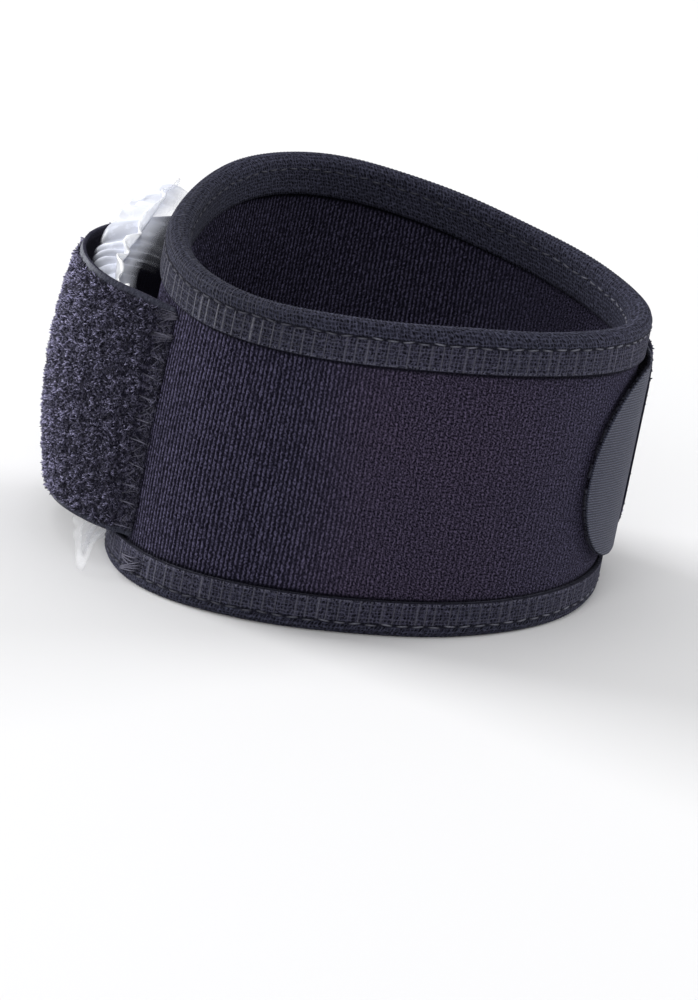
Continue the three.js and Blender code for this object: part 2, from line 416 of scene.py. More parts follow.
# Painted shadow: the knit is painted near black in a thin line along each tape's free edge, where the tape
# shades it.
past_painted_shadow = knitted.soft_step(knitted.kept("to_tape"), *KNIT_PAINTED_SHADOW)
yarn = knitted.tint(knitted.rest(past_painted_shadow), 0.85, yarn, (0.003, 0.003, 0.007, 1))
dress(knitted, knit_shader, yarn, stitches["Height"], 0.2)
sleeve.data.materials.append(knit)
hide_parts("knit_sleeve")
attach(sleeve, "root")

# Each edge of the sleeve is bound with a slate elastic tape, folded over the edge and sewn through with
# one row of lock stitch. The tape is a fine net with upright and level cords, and a dense twill fold.
TAPE = 0.9
TAPE_MIDDLE = KNIT_WALL / 2 + 0.3 + TAPE / 2
TOP_STITCH_ROW = 4.9
BOTTOM_STITCH_ROW = 4.5
TAPE_CELLS_ROUND = 620
TAPE_CELLS_ACROSS = 20
STITCH_GROOVE = 0.2
GROOVE_REACH = 0.45
FOLD_SCALLOP = 0.06
FOLD_SCALLOPS = 310
FOLD_REACH = 2.2
TAPE_SWELL = 0.12


def tape_section(across, depth):
    """Across a folded tape, from its outer free edge over the fold to its inner one: the offset, the
    drop below the fold's top, the outward direction in those two, and the way gone across."""
    leg = depth - TAPE_MIDDLE - TAPE / 2
    fold = math.pi * TAPE_MIDDLE
    way = across * tape_width(depth)
    turn = np.clip((way - leg) / TAPE_MIDDLE, 0, math.pi)
    down = np.maximum(leg - way, 0) + np.maximum(way - leg - fold, 0)
    offset = TAPE_MIDDLE * np.cos(turn)
    drop = TAPE_MIDDLE * (np.sin(turn) - 1) - TAPE / 2 - down
    return offset, drop, np.cos(turn), np.sin(turn), way


def tape_swell(angle, way):
    """The tape's soft unevenness."""
    turn = np.radians(angle)
    return TAPE_SWELL * np.sin(turn * 7 + 1.1) * np.sin(turn * 3 + way * 0.2)


def tape_width(depth):
    """The whole way across a folded tape, from one free edge to the other."""
    return 2 * (depth - TAPE_MIDDLE - TAPE / 2) + math.pi * TAPE_MIDDLE


def tape_relief(angle, way, depth, stitch_row):
    """How far the tape's faces stand out: scallops on the fold, and a sewn groove in each leg."""
    from_fold = way - tape_width(depth) / 2
    scallop = FOLD_SCALLOP * np.cos(np.radians(angle) * FOLD_SCALLOPS)
    scallop = scallop * np.exp(-((from_fold / FOLD_REACH) ** 2))
    to_row = np.abs(from_fold) - (tape_width(depth) / 2 - stitch_row)
    return scallop - STITCH_GROOVE * np.exp(-((to_row / GROOVE_REACH) ** 2))


def bind_edge(name, depth, stitch_row, height_at):
    """A tape bound over an edge of the sleeve. height_at gives the height for an angle and a drop."""
    def tape_place(along, across):
        angle = KNIT_JOIN_ANGLE + 360 * along
        offset, drop, out, up, way = tape_section(across, depth)
        swell = tape_swell(angle, way)
        places = on_arm(angle, height_at(angle, drop + up * swell), offset + out * swell)
        return places, along * KNIT_GIRTH, way, tape_relief(angle, way, depth, stitch_row)

    tape = flat_strip(name, TAPE_CELLS_ROUND, TAPE_CELLS_ACROSS)
    lay_strip(tape, tape_place)
    close_ring()
    return tape


def top_height(angle, drop):
    return round_the_arm(1, angle) + drop


def bottom_height(angle, drop):
    return np.maximum(TAPE / 2, -drop - TAPE / 2) + 0 * angle


top_tape = bind_edge("top_tape", TOP_TAPE_DEPTH, TOP_STITCH_ROW, top_height)
give_wall(top_tape, TAPE)
bottom_tape = bind_edge("bottom_tape", BOTTOM_TAPE_DEPTH, BOTTOM_STITCH_ROW, bottom_height)
edit_all(bpy.ops.mesh.flip_normals)
give_wall(bottom_tape, TAPE)

# The tape's net: small dark eyes between uneven yarns, thin paler upright cords, and faint level rows.
net, net_in, net_out = new_group(
    "elastic_net", {"Along": 0.0, "Across": 0.0, "Eye": 0.55, "Cord Step": 2.0}, ("Height", "Eyes", "Cords"))
net_place = net.spot(net_in["Along"], net_in["Across"])
net_wander = net.calc("SUBTRACT", net.clouds(net_place, 0.9, 1.0), 0.5)
net_uneven = net.soft_step(net.clouds(net_place, 1.9, 2.0), 0.3, 0.66)
along_only = net.spot(net_in["Along"], 0.0)
cord_wander = net.calc("SUBTRACT", net.clouds(along_only, 0.37, 1.0), 0.5)
cord_uneven = net.soft_step(net.clouds(along_only, 0.53, 1.0), 0.32, 0.62)


def net_wave(distance, step, wander, shift):
    """A wave from 0 to 1 along one way of the net."""
    count = net.times_plus(wander, shift, net.calc("DIVIDE", distance, step))
    turn = net.calc("COSINE", net.times(count, 2 * math.pi))
    return net.times_plus(turn, 0.5, 0.5)


eye_along = net_wave(net_in["Along"], net_in["Eye"], net_wander, 1.6)
eye_across = net_wave(net_in["Across"], net_in["Eye"], net_wander, -1.4)
eyes = net.times(net.rest(eye_along), net.rest(eye_across))
eyes = net.times(net.soft_step(eyes, 0.02, 0.24), net.times_plus(net_uneven, 0.7, 0.3))
upright = net.calc("POWER", net_wave(net_in["Along"], net_in["Cord Step"], cord_wander, 1.3), 14.0)
upright = net.times(upright, net.times_plus(cord_uneven, 0.75, 0.25))
upright = net.times(upright, net.times_plus(net_uneven, 0.6, 0.4))
level = net.calc("POWER", net_wave(net_in["Across"], 1.7, net_wander, 0.3), 14.0)
cords = net.calc("MAXIMUM", upright, net.times(level, 0.16))
net.link(eyes, net_out["Eyes"])
net.link(cords, net_out["Cords"])
net.link(net.times_plus(eyes, -0.7, cords), net_out["Height"])


# Degrees between which the tapes' net opens and closes again.
TAPE_OPEN = np.array((140.0, 176.0, 226.0, 264.0))


def tape_finish(name, stitch_row, opening):
    """The slate tape: cords and net on its legs, dense twill on its fold, a dark sewn line between, and a
    painted shadow along its free edge. By a share, its net is stretched open at the left, where its cords
    are paler."""
    material, tree, shader = new_cloth(name, 0.85, 0.05, (0.6, 0.62, 0.8, 1))
    place, along, across = tree.cloth_place()
    plain = tree.use(net, Along=along, Across=across, Eye=0.66, Cord_Step=2.0)
    slant = tree.times_plus(across, 0.4, along)
    twill = tree.use(net, Along=slant, Across=across, Eye=0.68, Cord_Step=0.9)
    dye = tree.use(lint, Place=place)
    fold = tree.soft_step(across, stitch_row - 0.1, stitch_row + 0.3)
    leg = tree.rest(fold)
    yarn = tree.tint(dye["Drift"], 1.0, (0.074, 0.068, 0.112, 1), (0.066, 0.070, 0.104, 1))
    yarn = tree.tint(dye["Lint"], 0.2, yarn, (0.14, 0.14, 0.19, 1))
    yarn = tree.tint(fold, 0.3, yarn, (0.044, 0.052, 0.080, 1))
    worn = tree.soft_step(tree.clouds(place, 1.5, 3.0), 0.4, 0.62)
    yarn = tree.tint(tree.rest(worn), 0.65, yarn, (0.018, 0.017, 0.030, 1))
    opened = tree.times(comes_and_goes(tree, along, along_at(TAPE_OPEN)), opening)
    yarn = tree.tint(opened, 0.6, yarn, (0.024, 0.025, 0.038, 1))
    dark = tree.calc("ADD", tree.times(plain["Eyes"], leg), tree.times(twill["Eyes"], fold))
    yarn = tree.tint(dark, 1.0, yarn, (0.003, 0.003, 0.006, 1))
    cord = tree.tint(opened, 1.0, (0.150, 0.148, 0.195, 1), (0.23, 0.23, 0.27, 1))
    yarn = tree.tint(tree.times(plain["Cords"], leg), 0.9, yarn, cord)
    knots = tree.times(tree.times(twill["Cords"], fold), opened)
    yarn = tree.tint(knots, 0.35, yarn, cord)
    to_row = tree.calc("ABSOLUTE", tree.calc("SUBTRACT", across, stitch_row))
    sewn = tree.rest(tree.soft_step(to_row, 0.15, 0.45))
    yarn = tree.tint(sewn, 0.8, yarn, (0.005, 0.005, 0.010, 1))
    to_edge = tree.calc("ABSOLUTE", tree.calc("SUBTRACT", across, 0.38))
    beads = tree.rest(tree.soft_step(to_edge, 0.12, 0.3))
    beads = tree.times(beads, tree.soft_step(tree.clouds(place, 2.2, 1.0), 0.5, 0.62))
    yarn = tree.tint(beads, 0.8, yarn, (0.13, 0.13, 0.18, 1))
    # Painted shadow: the tape is painted near black along its free edge, where it stands off the knit.
    rim = tree.rest(tree.soft_step(across, 0.02, 0.18))
    yarn = tree.tint(rim, 0.85, yarn, (0.005, 0.005, 0.010, 1))
    height = tree.calc("ADD", tree.times(plain["Height"], leg),
                       tree.times(twill["Height"], tree.times(fold, 0.6)))
    dress(tree, shader, yarn, height, 0.35)
    return material


for tape, node, stitch_row, depth, opening in (
    (top_tape, "top_binding", TOP_STITCH_ROW, TOP_TAPE_DEPTH, 1.0),
    (bottom_tape, "bottom_binding", BOTTOM_STITCH_ROW, BOTTOM_TAPE_DEPTH, 0.2),
):
    tape.data.materials.append(tape_finish("slate_" + tape.name, stitch_row, opening))
    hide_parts(node)
    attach(tape, "root")

# The tapes are sewn down with slate thread, in one row of lock stitch that shows on both sides of the
# wall. Each stitch is a short bowed length of thread, pulled down into the tape at its ends.
STITCH_STEP = 2.9
STITCH_LENGTH = 2.3
THREAD_RADIUS = 0.17
STITCH_BOW = 0.28
STITCH_SINK = 0.12
STITCH_SWAY = 0.14
STITCH_TILT = 0.3
STITCH_DULL = 0.4
# Degrees between which the stitches are painted paler towards the front, and duller again past the right:
# painted light and shade on the one thread.
STITCH_PALE = (246, 276)
STITCH_DULL_AGAIN = (20, 60)


def unit(ways):
    """Directions at their unit length."""
    return ways / np.linalg.norm(ways, axis=-1, keepdims=True)


def thread_runs(name, runs, faces_away, radius, corners=5, brightness=None):
    """Lengths of round thread as one mesh. runs holds the points of each length, faces_away a direction
    off the thread at each point. A painted shade is kept with each length's brightness, from 0, painted
    dark where it goes into the cloth at a length's ends, to its brightness, or 1."""
    runs = np.asarray(runs, float)
    count, steps = runs.shape[:2]
    ahead = unit(np.gradient(runs, axis=1))
    side = unit(np.cross(ahead, np.broadcast_to(faces_away, runs.shape)))
    over = np.cross(side, ahead)
    turns = np.arange(corners) * (2 * math.pi / corners)
    ring = side[:, :, None] * np.cos(turns)[:, None] + over[:, :, None] * np.sin(turns)[:, None]
    points = runs[:, :, None] + ring * radius
    first = np.arange(count * steps * corners).reshape(count, steps, corners)
    following = np.roll(first, -1, axis=2)
    walls = np.stack((first[:, :-1], first[:, 1:], following[:, 1:], following[:, :-1]), axis=-1)
    faces = walls.reshape(-1, 4).tolist() + first[:, 0].tolist() + first[:, -1, ::-1].tolist()
    mesh = bpy.data.meshes.new(name)
    mesh.from_pydata(points.reshape(-1, 3).tolist(), [], faces)
    # Painted shade: each length is painted dark towards its ends, where it goes into the cloth.
    painted_shade_and_tone = np.broadcast_to(np.sin(np.linspace(0, math.pi, steps))[None, :, None], first.shape)
    if brightness is not None:
        painted_shade_and_tone = painted_shade_and_tone * brightness[:, None, None]
    piece = bpy.data.objects.new(name, mesh)
    keep_values(piece, "painted_shade_and_tone", painted_shade_and_tone.ravel())
    mesh.shade_smooth()
    bpy.context.collection.objects.link(piece)
    return piece


def thread_finish(name, shade, pale):
    """Twisted thread: painted darker towards its ends, a painted shade where it goes into the cloth, with
    fine slanting plies.
    """
    material, tree, shader = new_cloth(name, 0.7, 0.1, (0.7, 0.7, 0.75, 1))
    painted_shade_and_tone = tree.kept("painted_shade_and_tone")
    plies = tree.clouds(tree.node("TexCoord").outputs["Object"], 3200.0, 1.0)
    colour = tree.tint(painted_shade_and_tone, 1.0, shade, pale)
    colour = tree.tint(tree.soft_step(plies, 0.55, 0.7), 0.35, colour, shade)
    dress(tree, shader, colour, plies, 0.05)
    return material


def sew_tape(name, depth, stitch_row, height_at, inner):
    """The stitches of a tape on its outer or inner side."""
    count = round(KNIT_GIRTH / STITCH_STEP)
    width = tape_width(depth)
    share = np.linspace(-0.5, 0.5, 7)
    along = (np.arange(count)[:, None] + share * STITCH_LENGTH / STITCH_STEP) / count
    angle = KNIT_JOIN_ANGLE + 360 * (along + (0.5 / count if inner else 0))
    row = width - stitch_row if inner else stitch_row
    offset, drop, out, up, way = tape_section(np.full(angle.shape, row / width), depth)
    face = tape_swell(angle, way) + tape_relief(angle, way, depth, stitch_row) + TAPE / 2
    bow = STITCH_BOW * (1 - (2 * share) ** 4) - STITCH_SINK
    lift = offset + out * (face + bow)
    number = np.arange(count)
    uneven = np.sin(number * 2.3) * np.sin(number * 0.71)
    tilt = STITCH_TILT * share * np.sin(number * 1.7)[:, None]
    height = height_at(angle, drop) + STITCH_SWAY * uneven[:, None] + tilt
    turned = angle[:, 3] % 360
    # Painted light: the thread is painted paler at the front and duller round the back. Its uneven part
    # varies the thread itself.
    painted_front_light = ease(turned, *STITCH_PALE) + 1 - ease(turned, *STITCH_DULL_AGAIN)
    brightness = STITCH_DULL + (0.5 + 0.25 * uneven) * painted_front_light
    stitches = thread_runs(name, on_arm(angle, height, lift), (0, 0, 1), THREAD_RADIUS * MM,
                           brightness=brightness)
    stitches.data.materials.append(slate_thread)
    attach(stitches, "root")


slate_thread = thread_finish("slate_thread", (0.008, 0.008, 0.014, 1), (0.15, 0.152, 0.19, 1))
sew_tape("top_stitches_outside", TOP_TAPE_DEPTH, TOP_STITCH_ROW, top_height, False)
sew_tape("top_stitches_inside", TOP_TAPE_DEPTH, TOP_STITCH_ROW, top_height, True)
sew_tape("bottom_stitches_outside", BOTTOM_TAPE_DEPTH, BOTTOM_STITCH_ROW, bottom_height, False)
sew_tape("bottom_stitches_inside", BOTTOM_TAPE_DEPTH, BOTTOM_STITCH_ROW, bottom_height, True)

# The strap is a long band of knitted loop pile with a smooth selvedge. Its front edge is sewn to the
# sleeve, it bulges over the air pad, lies round the back and ends on the hook tab, which grips it.
STRAP_BACKING = 1.1
SEAM_EDGE_ANGLE = 209.5
POCKET_FRONT_ANGLE = 206.0
POCKET_BACK_ANGLE = 110.0
STRAP_END_ANGLE = 3.0
POCKET_DEPTH_TOP = 18.2
POCKET_DEPTH_BOTTOM = 15.4
POCKET_CROWN = 3.5
POCKET_SHARPNESS = 1.15
STRAP_CORNER = 7.0
SEAM_BARE = 4.6
SEAM_RADIUS = 47.0
SEAM_THINNING = 0.65
END_THINNING = 0.35
END_TAPER = 14.0
SLEEVE_SPAN = 58.0
STRAP_SINK = 0.1
STRAP_SEAT = KNIT_WALL / 2 + KNIT_FULLNESS + 0.3
TAB_LIFT = 0.8
TAB_STANDS = 1.4 + TAB_LIFT
TAB_CLIMB = (36.0, 28.0)
# Angle, lower edge and upper edge, from the end on the tab to the sewn edge.
STRAP_SECTIONS = np.array((
    (3.0, 8.0, 45.6), (60.0, 8.4, 47.4), (108.0, 8.6, 50.0), (140.0, 6.6, 53.4),
    (165.0, 6.0, 54.2), (196.0, 7.0, 53.2), (209.5, 7.5, 52.3),
))


def strap_edge(column, angle):
    """A column of the strap's table at angles, eased between its rows."""
    rows = STRAP_SECTIONS
    below = np.clip(np.searchsorted(rows[:, 0], angle, side="right") - 1, 0, len(rows) - 2)
    share = ease((angle - rows[below, 0]) / (rows[below + 1, 0] - rows[below, 0]), 0, 1)
    return rows[below, column] + (rows[below + 1, column] - rows[below, column]) * share


def strap_inside(angle, across):
    """Offset of the strap's inner face: on the sleeve, out over the pad, and up on to the tab."""
    share = np.clip((POCKET_FRONT_ANGLE - angle) / (POCKET_FRONT_ANGLE - POCKET_BACK_ANGLE), 0, 1)
    swelling = np.abs(np.sin(math.pi * share)) ** POCKET_SHARPNESS
    depth = POCKET_DEPTH_BOTTOM + (POCKET_DEPTH_TOP - POCKET_DEPTH_BOTTOM) * across
    crown = POCKET_CROWN * (1 - (2 * across - 1) ** 2)
    climb = ease(-angle, -TAB_CLIMB[0], -TAB_CLIMB[1]) * TAB_STANDS
    return STRAP_SEAT + swelling * (depth + crown) + climb


def seam_press(angle):
    """How hard the strap is pressed down, from 0 at the pile to 1 at its sewn edge."""
    return ease(angle, SEAM_EDGE_ANGLE - math.degrees(SEAM_BARE / SEAM_RADIUS), SEAM_EDGE_ANGLE)


def strap_thinning(angle):
    """The share of its thickness that the strap loses, at its sewn edge and at its end on the tab."""
    at_end = ease(-angle, -STRAP_END_ANGLE - END_TAPER, -STRAP_END_ANGLE)
    return np.maximum(SEAM_THINNING * seam_press(angle), END_THINNING * at_end)


def strap_place(angle, across, lift):
    """The place on the strap at an angle, a share of its width, and a lift off its inner face. Its sewn
    edge is pressed down into the knit."""
    to_end = np.radians(angle - STRAP_END_ANGLE) * round_the_arm(0, angle)
    missing = np.clip(STRAP_CORNER - to_end, 0, STRAP_CORNER)
    trim = STRAP_CORNER - np.sqrt(STRAP_CORNER ** 2 - missing ** 2)
    low = strap_edge(1, angle) + trim
    high = strap_edge(2, angle) - trim
    height = low + (high - low) * across
    pressed = seam_press(angle)
    knit_face = KNIT_WALL / 2 + KNIT_FULLNESS * np.sin(math.pi * (height - KNIT_EDGE) / SLEEVE_SPAN)
    face = strap_inside(angle, across) * (1 - pressed) + (knit_face - STRAP_SINK) * pressed
    return on_arm(angle, height, face + lift * (1 - strap_thinning(angle)))


STRAP_TURN = SEAM_EDGE_ANGLE - STRAP_END_ANGLE
STRAP_WIDTH = 45.0
EDGE_THINNING = 0.55
strap_stations = np.linspace(STRAP_END_ANGLE, SEAM_EDGE_ANGLE, 800)
station_steps = np.linalg.norm(np.diff(strap_place(strap_stations, 0.5, 1.0), axis=0), axis=1)
station_lengths = np.concatenate(((0,), np.cumsum(station_steps))) / MM


def strap_length_at(angle):
    """How far along the strap an angle lies, in mm from its end on the tab."""
    return np.interp(angle, strap_stations, station_lengths)


def backing_place(along, across):
    angle = STRAP_END_ANGLE + STRAP_TURN * along
    places = strap_place(angle, across, STRAP_BACKING / 2)
    to_edge = np.minimum(across, 1 - across) * STRAP_WIDTH
    relief = -STRAP_BACKING / 2 * np.maximum(strap_thinning(angle), EDGE_THINNING * np.exp(-to_edge))
    return places, strap_length_at(angle), across * STRAP_WIDTH, relief


strap = flat_strip("strap_backing", 200, 46)
lay_strip(strap, backing_place)
give_wall(strap, STRAP_BACKING)

SELVEDGE = 1.25
SELVEDGE_ENDS = SELVEDGE + 0.4
PILE_STARTS = SELVEDGE - 0.2
PILE_FULL = SELVEDGE + 0.6
# Degrees between which the selvedge is painted pale, a painted rim light at the left, and grows dark again.
SELVEDGE_PAINTED_LIGHT = np.array((150.0, 170.0, 178.0, 190.0))
pile_cloth, backing, pile_shader = new_cloth("charcoal_pile_backing", 0.9, 0.05, (0.6, 0.6, 0.8, 1))
place, along, across = backing.cloth_place()
dye = backing.use(lint, Place=place)
weave = backing.use(net, Along=along, Across=across, Eye=0.5, Cord_Step=0.8)
to_edge = backing.calc("MINIMUM", across, backing.calc("SUBTRACT", STRAP_WIDTH, across))
selvedge = backing.rest(backing.soft_step(to_edge, SELVEDGE, SELVEDGE_ENDS))
yarn = backing.tint(dye["Drift"], 1.0, (0.009, 0.008, 0.016, 1), (0.014, 0.013, 0.024, 1))
yarn = backing.tint(selvedge, 0.8, yarn, (0.036, 0.035, 0.056, 1))
yarn = backing.tint(weave["Eyes"], 0.5, yarn, (0.008, 0.008, 0.014, 1))
dress(backing, pile_shader, yarn, weave["Height"], 0.15)

# The face that carries the pile is rough ground, with the feet of the loops as pale flecks.
pile_ground, ground, ground_shader = new_cloth("charcoal_pile_ground", 0.9, 0.05, (0.6, 0.6, 0.8, 1))
place, along, across = ground.cloth_place()
tufts = ground.clouds(place, 1.1, 4.0)
flecks = ground.soft_step(tufts, 0.46, 0.68)
to_edge = ground.calc("MINIMUM", across, ground.calc("SUBTRACT", STRAP_WIDTH, across))
pile_side = ground.soft_step(to_edge, PILE_STARTS, PILE_FULL)
yarn = ground.tint(flecks, 1.0, (0.006, 0.0055, 0.012, 1), (0.085, 0.080, 0.125, 1))
# Painted rim light: the selvedge on the pile face is painted pale where it turns to the left.
painted_rim_light = comes_and_goes(ground, along, strap_length_at(SELVEDGE_PAINTED_LIGHT))
band = ground.tint(painted_rim_light, 1.0, (0.036, 0.038, 0.055, 1), (0.19, 0.197, 0.228, 1))
weave = ground.use(net, Along=along, Across=across, Eye=0.5, Cord_Step=0.8)
band = ground.tint(weave["Eyes"], 0.4, band, (0.02, 0.02, 0.03, 1))
yarn = ground.tint(pile_side, 1.0, band, yarn)
dress(ground, ground_shader, yarn, tufts, 0.9)
strap.data.materials.append(pile_cloth)
strap.data.materials.append(pile_ground)
FACES_OUT = 0.3
for face in strap.data.polygons:
    outwards = face.center - Vector((ARM_AXIS_X * MM, ARM_AXIS_Y * MM, face.center.z))
    face.material_index = int(face.normal.dot(outwards.normalized()) > FACES_OUT)
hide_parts("pile_strap")
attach(strap, "root")

# The pile itself: thousands of small crimped loops of yarn that stand off the backing in tufts and lie
# every way. Along the sewn edge they are pressed flat.
LOOP_POINTS = 3
LOOP_CORNERS = 3
LOOP_SINK = 0.1
LOOP_SPAN = (0.35, 1.15)
LOOP_LEAN = 0.3
LOOP_LOWEST = 0.35
PILE_END_ANGLE = 4.2
PILE_END_RISE = 14
# How far the patches run into each other, in degrees.
PATCH_BLUR = 2.5
# The pile is painted paler at the left and the back, a painted rim light, by a share that fades between
# these degrees to the front.
PILE_PAINTED_RIM_LIGHT = 0.8
PILE_PAINTED_RIM_FADES = (174, 196)


def pile_patch(name, angles, shares, count, seed, radius, tallest=1.15, palest=1.0):
    """Loops of pile over a stretch of the strap between two angles and two shares of its width. Patches
    run into each other a little."""
    draw = np.random.default_rng(seed)
    angle = draw.uniform(angles[0], angles[1], count) + draw.normal(0, PATCH_BLUR, count)
    off_strap = (angle < PILE_END_ANGLE) | (angle > angles[2])
    angle = np.where(off_strap, draw.uniform(angles[0], angles[1], count), angle)
    edge = SELVEDGE / STRAP_WIDTH
    across = draw.uniform(max(shares[0], edge), min(shares[1], 1 - edge), count)
    base = strap_place(angle, across, STRAP_BACKING - LOOP_SINK)
    ahead = unit(strap_place(angle + 0.2, across, STRAP_BACKING - LOOP_SINK) - base)
    rising = strap_place(angle, across + 0.004, STRAP_BACKING - LOOP_SINK) - base
    out = unit(np.cross(ahead, rising))
    rising = np.cross(out, ahead)
    gone = strap_length_at(angle)
    heading = draw.uniform(0, 2 * math.pi, count)
    run_way = np.cos(heading)[:, None] * ahead + np.sin(heading)[:, None] * rising
    side_way = np.cross(out, run_way)
    up = across * STRAP_WIDTH
    tuft = 0.5 + 0.4 * (
        np.sin(gone * 2.1 + 1.3 * np.sin(up * 0.7)) * np.sin(up * 2.3 + 1.7 * np.sin(gone * 0.5))
        + np.sin(gone * 0.9 - up * 0.6) * np.sin(up * 0.8 + gone * 0.35)
    )
    tuft = np.clip(tuft, 0, 1)
    at_end = ease(angle, PILE_END_ANGLE, PILE_END_ANGLE + PILE_END_RISE)
    tall = tallest * draw.uniform(0.3, 1.0, count) * (LOOP_LOWEST + (1 - LOOP_LOWEST) * tuft)
    tall *= LOOP_LOWEST + (1 - LOOP_LOWEST) * at_end
    span = draw.uniform(*LOOP_SPAN, count)
    lean = draw.normal(0, LOOP_LEAN, (count, 2))
    share = np.linspace(0, 1, LOOP_POINTS)[None, :, None]
    arch = np.sin(math.pi * share)
    runs = (
        base[:, None]
        + MM * run_way[:, None] * (span[:, None, None] * (share - 0.5) + lean[:, :1, None] * arch)
        + MM * side_way[:, None] * lean[:, 1:, None] * arch
        + MM * out[:, None] * tall[:, None, None] * np.abs(arch)
    )
    # Each loop's brightness is its own, at random, times a painted shade that darkens the loops in the
    # hollows between the tufts.
    pale = palest * draw.uniform(0.05, 1, count) ** 2.0 * (0.15 + 0.95 * tuft)
    # Painted rim light: the loops at the left and the back are painted paler.
    pale *= 1 + PILE_PAINTED_RIM_LIGHT * (1 - ease(angle, *PILE_PAINTED_RIM_FADES))
    patch = thread_runs(name, runs, side_way[:, None], radius * MM, LOOP_CORNERS, pale)
    patch.data.materials.append(pile_yarn)
    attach(patch, "root")
    return patch


pile_yarn, loop_yarn, yarn_shader = new_cloth("charcoal_loop_yarn", 0.55, 0.1, (0.75, 0.75, 0.9, 1))
painted_shade_and_tone = loop_yarn.kept("painted_shade_and_tone")
crimp = loop_yarn.clouds(loop_yarn.node("TexCoord").outputs["Object"], 900.0, 2.0)
# The loops are painted near black at their feet, a painted shade deep in the pile, and pale at their tops.
colour = loop_yarn.tint(painted_shade_and_tone, 1.0, (0.005, 0.0045, 0.011, 1), (0.48, 0.46, 0.70, 1))
colour = loop_yarn.tint(loop_yarn.soft_step(crimp, 0.45, 0.7), 0.45, colour, (0.012, 0.012, 0.022, 1))
loop_yarn.link(colour, yarn_shader.inputs["Base Color"])
seam_bare_angle = SEAM_EDGE_ANGLE - math.degrees(SEAM_BARE / SEAM_RADIUS)
front = (150.0, seam_bare_angle, seam_bare_angle)
pile_patches = [
    pile_patch("pile_front_low", front, (0.0, 0.34), 6900, 11, 0.09),
    pile_patch("pile_front_middle", front, (0.34, 0.67), 6900, 12, 0.09),
    pile_patch("pile_front_high", front, (0.67, 1.0), 6900, 13, 0.09),
    pile_patch("pile_back_left", (78.0, 150.0, 180.0), (0.0, 1.0), 12600, 14, 0.11),
    pile_patch("pile_back_right", (PILE_END_ANGLE, 78.0, 100.0), (0.0, 1.0), 12600, 16, 0.11),
    pile_patch("pile_seam", (seam_bare_angle - 0.6, SEAM_EDGE_ANGLE + 0.6, SEAM_EDGE_ANGLE), (0.0, 1.0),
               2400, 15, 0.09, 0.7, 0.45),
]

# The strap's front edge is flattened and sewn to the sleeve with an open zigzag of fine grey thread. It is
# knotted off at the upper corner, and tacked to the bottom tape with a small fan of the same thread.
SEAM_STEP = 4.1
SEAM_THREAD = 0.11
SEAM_BOW = 0.5
SEAM_SINK = 0.1
SEAM_LIFT = 0.1
FINE_THREAD = 0.08
# How far the seam's stitches reach in mm from the sewn edge, on the strap and on the sleeve.
BAR_REACH = (-4.2, 0.3)
SLANT_START = -4.0
SLANT_RISES = (1.5, 2.7, -1.4)


def sew(name, starts, ends, place, radius, pale=1.0, points=8):
    """Straight stitches from starts to ends, bowed over the cloth. Their rows hold the two values that
    place takes, before a lift off the cloth."""
    share = np.linspace(0, 1, points)[None, :, None]
    rows = np.asarray(starts)[:, None] * (1 - share) + np.asarray(ends)[:, None] * share
    bow = SEAM_BOW * (1 - (2 * share[..., 0] - 1) ** 4) - SEAM_SINK
    runs = place(rows[..., 0], rows[..., 1], bow)
    away = place(rows[..., 0], rows[..., 1], bow + 1) - runs
    stitches = thread_runs(name, runs, away, radius * MM, brightness=np.full(len(runs), pale))
    stitches.data.materials.append(grey_thread)
    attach(stitches, "root")


def on_strap(to_edge, across, lift):
    """A place on the strap's face, a way in mm past its sewn edge and up a share of its width."""
    angle = SEAM_EDGE_ANGLE + np.degrees(to_edge / SEAM_RADIUS)
    return strap_place(angle, across, STRAP_BACKING + SEAM_LIFT + lift)


def on_bottom_tape(angle, height, lift):
    return on_arm(angle, height, TAPE_MIDDLE + TAPE / 2 + SEAM_LIFT + lift)


grey_thread = thread_finish("grey_thread", (0.012, 0.011, 0.020, 1), (0.125, 0.122, 0.165, 1))
seam_draw = np.random.default_rng(5)
bars = []
slants = []
for height in np.arange(2.0, 43.0, SEAM_STEP):
    height += seam_draw.normal(0, 0.25)
    ends = seam_draw.normal(0, 0.3, 2)
    far_height = height + seam_draw.normal(0, 0.2)
    bars.append(((BAR_REACH[0] + ends[0], height), (BAR_REACH[1] + ends[1], far_height)))
    for rise in SLANT_RISES:
        foot = height + seam_draw.uniform(0.3, 2.6)
        reach = seam_draw.uniform(-1.4, 0.4)
        slants.append(((SLANT_START + seam_draw.uniform(0, 1.0), foot), (reach, foot + rise)))
per_width = (1, 1 / STRAP_WIDTH)
bars = np.array(bars) * per_width
slants = np.array(slants) * per_width
sew("seam_stitches", bars[:, 0], bars[:, 1], on_strap, SEAM_THREAD)
sew("seam_slants", slants[:, 0], slants[:, 1], on_strap, FINE_THREAD, 0.6)

# The knot at the upper corner: two bundles of loose strands across the seam, each with its height on the
# strap in mm and its count of strands.
KNOT_BUNDLES = ((42.6, 9), (38.6, 11))
KNOT_HALF = 0.9
KNOT_START = -4.6
KNOT_REACH = 1.4
KNOT_ROUNDING = 0.9
KNOT_CLOSING = 0.6
KNOT_RISE = 0.9
strands = []
for middle, count in KNOT_BUNDLES:
    for place_across in np.linspace(-KNOT_HALF, KNOT_HALF, count):
        foot = middle + place_across + seam_draw.normal(0, 0.15)
        reach = KNOT_REACH - KNOT_ROUNDING * place_across ** 2 + seam_draw.normal(0, 0.3)
        head = middle + KNOT_CLOSING * place_across + KNOT_RISE
        strands.append(((KNOT_START + abs(place_across), foot), (reach, head)))
strands = np.array(strands) * per_width
sew("seam_knot", strands[:, 0], strands[:, 1], on_strap, FINE_THREAD, 0.5)

